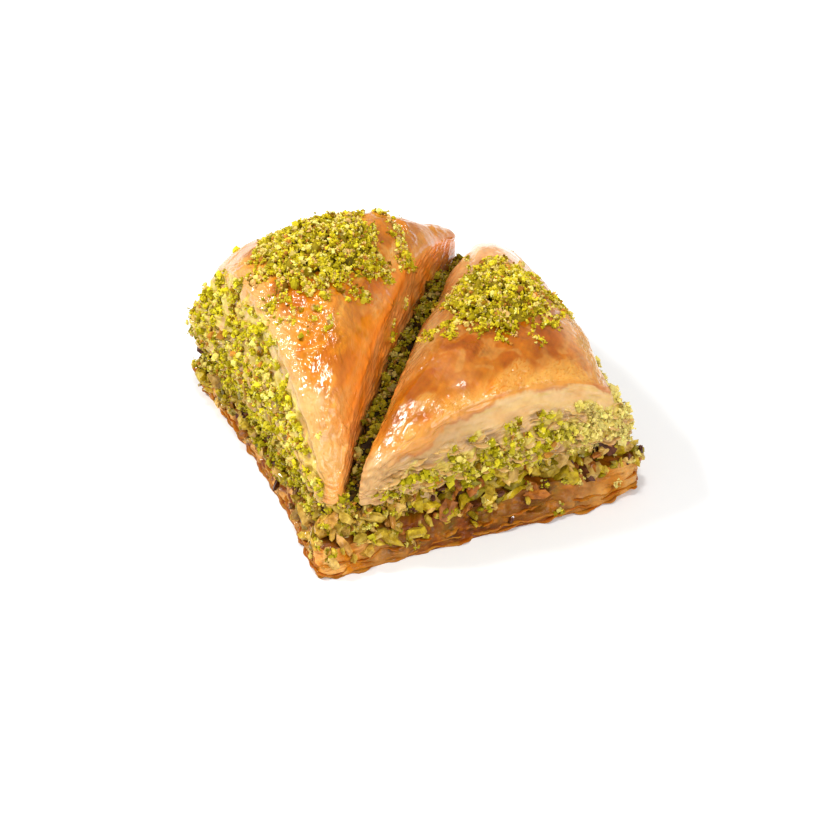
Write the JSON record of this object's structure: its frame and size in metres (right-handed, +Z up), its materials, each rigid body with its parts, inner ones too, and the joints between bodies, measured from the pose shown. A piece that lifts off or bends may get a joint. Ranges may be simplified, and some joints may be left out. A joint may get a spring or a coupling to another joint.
{
  "type": "baklava piece",
  "caption": "Square piece of pistachio baklava on a soaked base, with a nut filling and a domed, glazed top cut in two on the slant, heaped with ground pistachio.",
  "frame": {"origin": "on the floor, under the middle of the whole piece", "axes": "+X along the near edge, +Y along the left edge towards the back, +Z up; the cut runs from near the corner at -X -Y to near the corner at +X +Y"},
  "size_m": [0.0476, 0.0456, 0.0295],
  "materials": {
    "base_pastry": "syrup-soaked pastry sheets, golden brown, wet gloss",
    "nut_filling": "chopped pistachio in syrup, olive green and brown, wet gloss",
    "top_pastry_left": "baked phyllo leaves under syrup, golden orange, glossy",
    "top_pastry_right": "baked phyllo leaves under syrup, golden orange, glossy",
    "pistachio_heap_left": "ground pistachio, yellow green, matte",
    "pistachio_heap_right": "ground pistachio, yellow green, matte",
    "pistachio_in_cut": "ground pistachio dark with syrup, olive brown"
  },
  "bodies": {
    "root": {"base_pastry": "base_pastry", "nut_filling": "nut_filling", "top_pastry_left": "top_pastry_left", "top_pastry_right": "top_pastry_right", "pistachio_heap_left": "pistachio_heap_left", "pistachio_heap_right": "pistachio_heap_right", "pistachio_in_cut": "pistachio_in_cut"}
  },
  "joints": []
}
